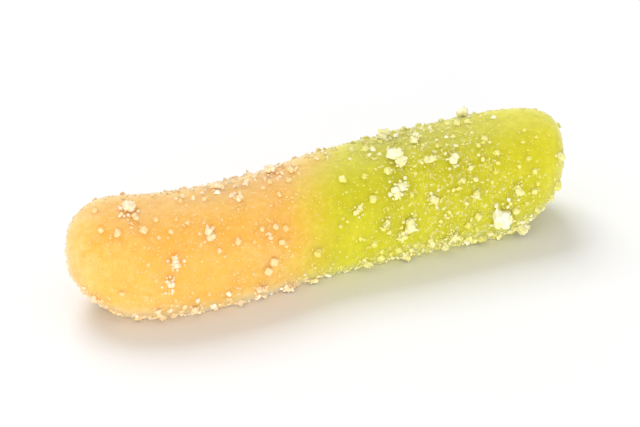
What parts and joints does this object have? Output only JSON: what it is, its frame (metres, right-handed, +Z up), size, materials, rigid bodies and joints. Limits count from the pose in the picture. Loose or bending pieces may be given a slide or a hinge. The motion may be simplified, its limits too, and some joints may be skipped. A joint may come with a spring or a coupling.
{
  "type": "gummy worm",
  "caption": "Sugared gummy worm, a soft bent jelly sweet with a round orange end and a blunt lime end, flat underneath where it rests.",
  "frame": {"origin": "on the table under the middle of the worm's bounding box", "axes": "+X along the worm from the round orange nose to the blunt lime tail, +Z up from the table"},
  "size_m": [0.0546, 0.015, 0.0119],
  "materials": {
    "jelly": "soft translucent fruit jelly with a frosted skin, orange on the nose half and lime green on the tail half",
    "sugar": "clear to white sugar crystals, fine frosting with coarse grains and clumps"
  },
  "bodies": {
    "root": {"gummy_worm": "jelly"}
  },
  "joints": []
}
